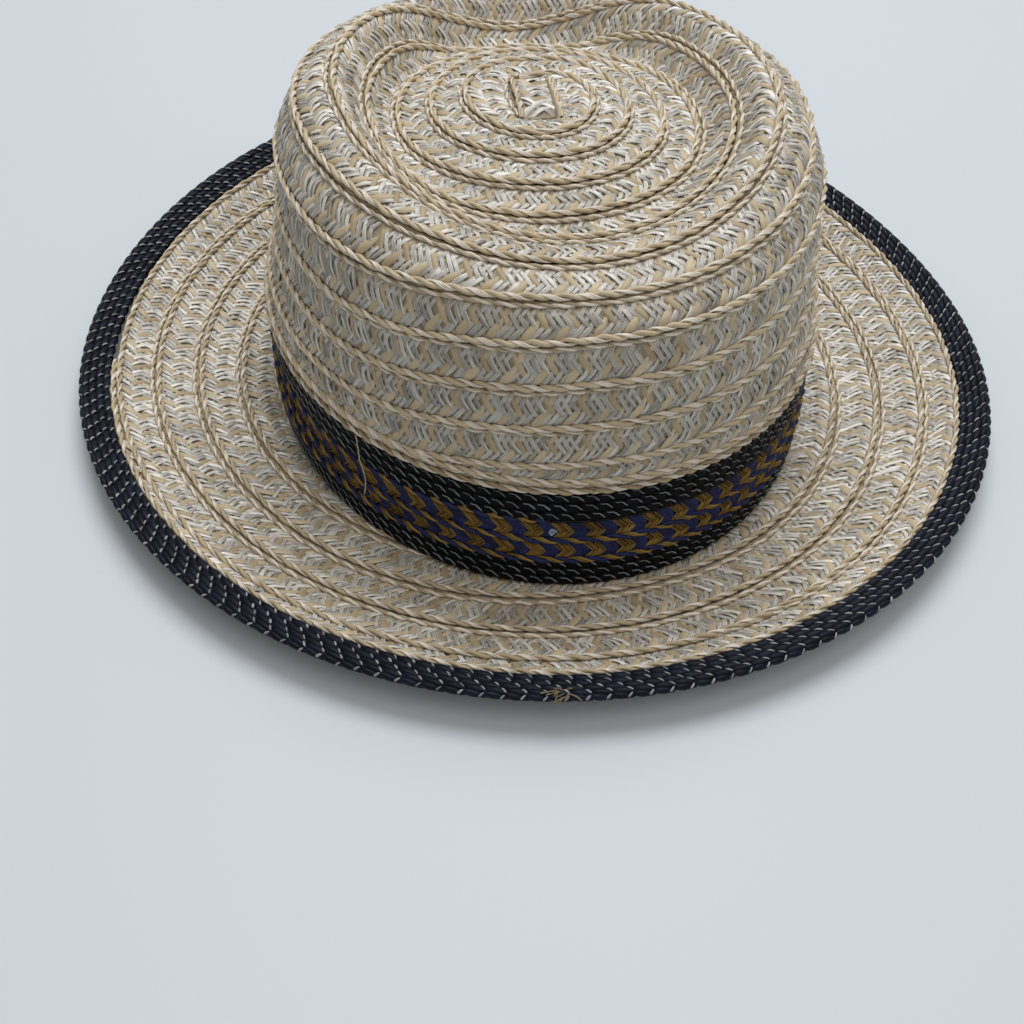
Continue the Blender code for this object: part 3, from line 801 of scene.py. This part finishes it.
# ---- the patterned plait ----
# An arrow's arms: v, distance along and height at each point
UPPER_ARM = (
    np.array([0.02, 0.08, 0.18, 0.29, 0.40, 0.50, 0.56]),
    mm(2.3, 1.9, 1.3, 0.6, -0.1, -0.6, -0.9),
    mm(-0.30, 0.05, 0.30, 0.36, 0.32, 0.20, -0.12))
LOWER_ARM = (
    np.array([0.84, 0.79, 0.72, 0.65, 0.58, 0.52, 0.47]),
    mm(1.6, 1.2, 0.7, 0.15, -0.35, -0.75, -1.1),
    mm(-0.30, 0.05, 0.30, 0.38, 0.34, 0.22, -0.10))
ARM_SHAPE = np.array([0.7, 0.95, 1.0, 1.0, 1.0, 0.92, 0.75])
ARROW = 0.0083  # length of a blue arrow and a mustard one
MUSTARD_WIDE = 0.00046  # widths of a strand
BLUE_WIDE = 0.00205
MUSTARD_STEP = 0.88  # from strand to strand, in mm
BLUE_STEP = 1.80
BLUE_PLACE = 4.95  # the first blue strand's place in an arrow, in mm


def pattern_plait(plait, blue, mustard, behind, rng):
    """Arrow-shaped cells of blue straw, groups of mustard strands, and a rope of both at the edge."""
    count = int(plait.length / ARROW)
    starts = np.arange(count) * (plait.length / count) + rng.uniform(0, ARROW)
    for levels, lean, rise in (UPPER_ARM, LOWER_ARM):
        for k in range(5):
            s = (starts + k * MUSTARD_STEP * MM)[:, None] + lean + rng.normal(0, 0.00010, (count, 1))
            size = MUSTARD_WIDE * ARM_SHAPE * rng.uniform(0.85, 1.12, (count, 1))
            strands(mustard, plait, s, levels + 0 * s, rise + rng.normal(0, 0.00004, (count, 1)),
                    size, THREE_ARCH, rng)
        for k in range(2):
            s = (starts + (BLUE_PLACE + BLUE_STEP * k) * MM)[:, None] + lean
            size = BLUE_WIDE * ARM_SHAPE * rng.uniform(0.94, 1.06, (count, 1))
            strands(blue, plait, s, levels + 0 * s, rise - 0.00006 + 0 * s, size, STRAW_ARCH, rng)
    thick_ridge(plait, blue, mustard, 0.92, rng)
    # near-black backing under blue and mustard strands: painted shade in the pattern's gaps
    backing(behind, plait, 0.01, 0.99, DARK_BACKING)


# ---- pieces ----
rng = np.random.default_rng(7)
crown, band, brim = Surface(crown_column), Surface(band_column), Surface(brim_column)


def rows(n):
    return [Weave() for _ in range(n)]


def build_natural(part, weaves, nodes, slot):
    """Builds a natural plait's pieces, one for each kind of strand."""
    names = ("straw", "filament_rising", "filament_falling", "ridge_filament", "thin_cord", "shaded_inner_strands")
    # the inner strands' material is darker than straw and filament: painted shade
    for name, weave, material in zip(names, weaves, (STRAW, FILAMENT, FILAMENT, RIDGE, CORD, SHADED_INNER)):
        piece = weave.build(part + "_" + name, material, slot)
        if name == "straw":
            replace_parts(piece, *nodes)


def sewn(name, material, node, *lines, way=1):
    """A row of stitches for each line, which is a plait, v and height."""
    weave = Weave()
    for plait, v, height in lines:
        stitches(weave, plait, v, height, way, rng)
    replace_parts(weave.build(name, material, node), node)


def crown_pieces():
    """The spiral plait, the starting strip inside it, and the hem of ropes above the band."""
    weaves = rows(6)
    body = Plait(crown, lambda t: crown_upper(crown, t), lambda t: crown_row(crown, t),
                 *CROWN_ENDS, LAP, NARROW)
    natural_plait(body, *weaves, rng, np.interp(CORD_TURN, body.turns, body.s))
    tip = FlatPlait()
    natural_plait(tip, *weaves, rng, None)
    thick_ridge(tip, weaves[0], weaves[3], 0.0, rng)
    hem = Plait(crown, lambda t: crown.length(t) - LAST_ROW, lambda t: crown.length(t) - HEM_END,
                0.0, 1.0, lift=-0.0006, closed=True)
    thin_cord(hem, weaves[4], HEM_CORD_LINE, rng)
    thick_ridge(hem, weaves[0], weaves[3], HEM_ROPE_LINE, rng)
    hem_strands(hem, weaves[0], weaves[1], rng)
    # painted shade in the hem's gaps, as under the plaits
    backing(weaves[5], hem, 0.0, 1.0, 0.0004)
    nodes = ("crown_top_braid", "crown_crease_braid", "crown_shoulder_braid",
             "crown_upper_side_braid", "crown_lower_side_braid")
    build_natural("crown", weaves, nodes, "crown_upper_side_braid")
    sewn("crown_stitches", SEWING, "crown_seam_thread", (body, *SEWN_LINE))


def hem_strands(plait, straw, filament, rng):
    """Short crossing strands between the ropes above the band."""
    count = int(plait.length / HEM_PITCH)
    places = np.arange(count) * plait.length / count
    for way in (1, -1):
        along = np.linspace(-HEM_LEAN, HEM_LEAN, 6) * MM
        s = places[:, None] + along
        v = 0.5 - way * along / (2 * HEM_LEAN * MM) * 0.96 + 0 * s
        h = way * mm(-0.1, 0.08, -0.08, 0.08, -0.08, 0.1) - 0.00022 + 0 * s
        mixed_strands(straw, filament, plait, s, v, h, HEM_STRAW, HEM_FILAMENT, rng)


def brim_pieces():
    weaves = rows(6)
    body = Plait(brim, lambda t: brim_seam(brim, t - 1), lambda t: brim_seam(brim, t),
                 *BRIM_ENDS, LAP, NARROW)
    natural_plait(body, *weaves, rng)
    build_natural("brim", weaves, ("brim_inner_braid", "brim_braid"), "brim_braid")
    sewn("brim_stitches", SEWING, "brim_seam_thread", (body, *SEWN_LINE))


def pattern_line(turn):
    """Lower edge of the pattern's spiral, which grows from nothing over its first part of a turn."""
    rows = np.where(turn < 1, ease(turn / 0.6), 1 + ease((turn - 1) / 0.6))
    rows = np.where(turn < 0, 0, np.minimum(rows, 2))
    return UPPER_BRAID + PATTERN_ROW * rows


def dark_pieces(part, node, plait, layout, behind, materials, flecks=False):
    """Builds a dark plait's cells and threads in its node's place."""
    cells, threads = rows(2)
    dark_plait(plait, cells, threads, behind, layout, rng, flecks)
    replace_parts(cells.build(part + "_cells", materials[0], node), node)
    threads.build(part + "_threads", materials[1], node)


def band_pieces():
    """The two black plaits, with the pattern's spiral between them."""
    blue, mustard, behind = rows(3)
    node = "band_pattern_braid"
    upper = Plait(band, lambda t: 0 * t, lambda t: UPPER_BRAID + 0 * t, 0.0, 1.0, lift=0.0002, closed=True)
    dark_pieces("band_upper", "band_upper_braid", upper, BAND_CELL, behind, (BLACK, GREY))
    row = Plait(band, lambda t: pattern_line(t - 1), pattern_line, *PATTERN_ENDS, 0.0003, PATTERN_ROW)
    pattern_plait(row, blue, mustard, behind, rng)
    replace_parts(blue.build("band_pattern_blue", BLUE, node), node)
    mustard.build("band_pattern_mustard", MUSTARD, node)
    start = UPPER_BRAID + 2 * PATTERN_ROW
    lower = Plait(band, lambda t: start + 0 * t, lambda t: band.length(t), 0.0, 1.0, closed=True)
    dark_pieces("band_lower", "band_lower_braid", lower, BAND_CELL, behind, (BLACK, GREY))
    # one backing for the band's plaits: black under the black ones, painted shade under the pattern
    behind.build("band_backing", SHADOWED, node)
    sewn("band_stitches", DARK_SEWING, "band_seam_thread", (upper, 0.96, 0.0002), (row, 0.06, 0.0001),
         (lower, 0.04, 0.0002))
    band_knot(upper)


def band_knot(plait):
    """The small knot of thread where the pattern starts."""
    weave = Weave()
    middle = plait.length * KNOT[0]
    bend = np.linspace(0, CIRCLE, 12)
    for k in range(3):
        s = middle + (0.0009 - 0.0002 * k) * np.cos(bend + k) + 0.0003 * k
        v = (KNOT[1] + 0.0006 * np.sin(bend + k) + 0.0002 * k) / UPPER_BRAID
        h = 0.0009 + 0.0003 * np.sin(2 * bend + k)
        strands(weave, plait, s[None], v[None], h[None], 0.0005 + 0 * s[None], THREAD_ARCH, rng)
    weave.build("band_pattern_knot", KNOT_BLUE, "band_pattern_braid")


def loose_thread():
    """The crown's thread end, of three twisted fibres, hanging over the band."""
    weave = Weave()
    t = np.linspace(0, 1, 40)
    bend = 0.0010 * np.sin(CIRCLE * t) - 0.0022 * np.sin(math.pi * t)
    turn = np.interp(t, (0, 1), LOOSE_TURN) + bend
    drop = np.interp(t, (0, 1), LOOSE_DROP)
    height = np.interp(t, np.linspace(0, 1, len(LOOSE_HEIGHTS)), LOOSE_HEIGHTS)
    ring = np.linspace(0, CIRCLE, 7)[:-1]
    for k in range(3):
        twist = CIRCLE * (5 * t + k / 3)
        across = LOOSE_RADIUS * (np.cos(twist)[:, None] + np.cos(ring))
        up = LOOSE_RADIUS * (np.sin(twist)[:, None] + np.sin(ring))
        points = band.at(turn[:, None] + across / SWEAT_FLAT[1], drop[:, None] + 0 * across,
                         height[:, None] + up)
        girth = (ring * LOOSE_RADIUS / MM)[None, None, :]
        weave.add(points[None], (drop / MM)[None, :, None], girth, [0.8], True)
    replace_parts(weave.build("loose_thread", SEWING, "loose_thread_end"), "loose_thread_end")


def lining(name, material, turns, ends, depth, thick, flat):
    """A strip of cloth inside the band, between the turns and the distances from the band's edges."""
    count = max(12, int((turns[1] - turns[0]) * 400))
    turn = np.linspace(*turns, count)[:, None]
    share = np.concatenate([np.linspace(0, 1, LINING_POINTS), np.linspace(1, 0, LINING_POINTS)])
    inner = np.repeat([1.0, 0.0], LINING_POINTS)
    distance = ends[0] + (band.length(turn) - ends[0] - ends[1]) * share
    near_end = np.clip(np.minimum(turn - turns[0], turns[1] - turn) / 0.0006, 0.05, 1)
    ripple = 0.00006 * np.sin(turn * 190) * np.sin(share * 5)
    points = band.at(turn + 0 * share, distance, -depth - thick * inner * near_end + ripple)
    weave = Weave()
    along = turn * SWEAT_FLAT[1] / MM
    weave.add(points[None], along[None], (share * flat[0] / MM)[None, None, :], [0.5], True)
    size = 2 * LINING_POINTS
    for ring, way in ((0, 1), (size * (count - 1), -1)):
        far = ring + size - 1
        weave.faces.append(np.array([[ring + i, ring + i + 1, far - i - 1, far - i][::way]
                                     for i in range(LINING_POINTS - 1)]))
    piece = weave.build(name + "_cloth", material, name)
    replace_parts(piece, name)
    return piece


def lining_pieces():
    sweat = lining("sweatband", SWEAT_CLOTH, (0.0006, 0.9994), SWEAT_ENDS, SWEAT_IN, SWEAT_THICK,
                   SWEAT_FLAT)
    inside = SWEAT_IN + SWEAT_THICK + GAP
    lining("sweatband_join_tape", LINEN, (-TAPE_HALF, TAPE_HALF), TAPE_ENDS, inside, TAPE_THICK,
           TAPE_FLAT)
    lining("size_tab", LINEN, TAB, TAB_ENDS, inside, TAB_THICK, TAB_FLAT)
    line = Plait(band, lambda t: band.length(t) - 2 * SWEAT_SEWN_UP, lambda t: band.length(t), 0.0, 1.0,
                 lift=-inside, closed=True)
    sewn("sweatband_stitches", SEWING, "sweatband_seam_thread", (line, 0.5, 0.0001), way=-1)


def edge_column(theta):
    """The edge plait's section: over the brim's edge from its upper inner side to its lower inner side."""
    turn = np.array([(math.pi / 2 - theta) / (CIRCLE)])
    far = brim.length(turn)
    bend = np.linspace(math.pi / 2, -math.pi / 2, 13)
    middle, radius = (EDGE_TOP - EDGE_DEEP) / 2, (EDGE_TOP + EDGE_DEEP) / 2
    out = np.concatenate([np.linspace(-EDGE_WIDTH, -radius, 24), radius * np.cos(bend) - radius,
                          np.linspace(-radius, -EDGE_WIDTH, 24)])
    up = np.concatenate([np.full(24, EDGE_TOP), middle + radius * np.sin(bend), np.full(24, -EDGE_DEEP)])
    keep = np.concatenate([[True], np.hypot(np.diff(out), np.diff(up)) > 1e-7])    # no point twice
    return np.array([brim.at(turn, far + d, np.array([h]))[0] for d, h in zip(out[keep], up[keep])])


def edge_pieces():
    edge, node = Surface(edge_column), "brim_edge_braid"
    behind, frayed = rows(2)
    plait = Plait(edge, lambda t: 0 * t, lambda t: edge.length(t), EDGE_JOIN, 1 + EDGE_JOIN, closed=True)
    dark_pieces("edge", node, plait, EDGE_CELL, behind, (NAVY, PALE), True)
    # painted shade behind the navy edge plait's cells
    behind.build("edge_backing", SHADOWED, node)
    frayed_ends(plait, frayed)
    frayed.build("edge_frayed_ends", FRAYED, node)
    sewn("edge_stitches", DARK_SEWING, "edge_seam_thread", (plait, 0.03, 0.0002), (plait, 0.97, 0.0002))


def frayed_ends(plait, weave):
    """Cut ends of straw that stand out where the edge plait's ends meet."""
    count = 18
    first = rng.uniform(0.30, 0.47, count)[:, None]
    t = np.linspace(0, 1, 6)
    v = first + t * rng.uniform(0.04, 0.09, (count, 1))
    s = rng.normal(0, 0.0012, (count, 1)) + t * rng.normal(0, 0.0014, (count, 1))
    s = s + 0.0004 * np.sin(3 * t + 9 * first) + 0.0025
    h = 0.0002 + t * rng.uniform(0.0002, 0.0012, (count, 1))
    strands(weave, plait, s, v, h, 0.00022 + 0 * s, THREAD_ARCH, rng)


CAMERA_PLACE = (0.0569, 0.3151, 0.2537)
CAMERA_ANGLES = (0.1613, 0.8006, 0.0424)  # yaw from -Y, downward pitch, and roll, in radians
FLOOR_HALF = 14.0
FLOOR_DROP = -0.0004
LIT_PLACE = (0, 0, 0.03)


def camera():
    yaw, pitch, roll = CAMERA_ANGLES
    forward = Vector((-math.sin(yaw) * math.cos(pitch), -math.cos(yaw) * math.cos(pitch), -math.sin(pitch)))
    right = forward.cross(Vector((0, 0, 1))).normalized()
    up = right.cross(forward)
    across = right * math.cos(roll) + up * math.sin(roll)
    above = up * math.cos(roll) - right * math.sin(roll)
    data = bpy.data.cameras.new("camera")
    data.lens = 42.1875
    data.sensor_width = 36.0
    data.clip_start = 0.01
    item = new_object("camera", data)
    item.matrix_world = Matrix.Translation(CAMERA_PLACE) @ Matrix(
        (across, above, -forward)).transposed().to_4x4()
    bpy.context.scene.camera = item


def stage():
    mesh = bpy.data.meshes.new("floor")
    corners = [(x * FLOOR_HALF, y * FLOOR_HALF, FLOOR_DROP) for x, y in ((-1, -1), (1, -1), (1, 1), (-1, 1))]
    mesh.from_pydata(corners, [], [(0, 1, 2, 3)])
    item = bpy.data.materials.new("floor")
    item.use_nodes = True
    shader = item.node_tree.nodes["Principled BSDF"]
    shader.inputs["Base Color"].default_value = (*srgb(212, 220, 226), 1)
    shader.inputs["Roughness"].default_value = 0.55
    mesh.materials.append(item)
    new_object("floor", mesh)


def area_light(name, place, size, power, tint=(1, 1, 1)):
    data = bpy.data.lights.new(name, "AREA")
    data.shape = "DISK"
    data.size = size
    data.energy = power
    data.color = tint
    item = new_object(name, data)
    item.location = place
    item.rotation_euler = (Vector(LIT_PLACE) - Vector(place)).to_track_quat("-Z", "Y").to_euler()


def lights():
    world = bpy.data.worlds.new("world")
    world.use_nodes = True
    sky = world.node_tree.nodes["Background"]
    sky.inputs["Color"].default_value = (1.0, 0.975, 0.94, 1)
    sky.inputs["Strength"].default_value = 0.31
    bpy.context.scene.world = world
    area_light("key", (-0.20, -0.80, 1.8), 1.3, 24.5, (0.985, 1.0, 1.02))
    area_light("fill", (-0.3, 0.85, 1.75), 1.6, 7.0)
    bpy.context.scene.view_settings.view_transform = "Standard"


camera()
stage()
lights()
crown_pieces()
brim_pieces()
band_pieces()
edge_pieces()
lining_pieces()
loose_thread()
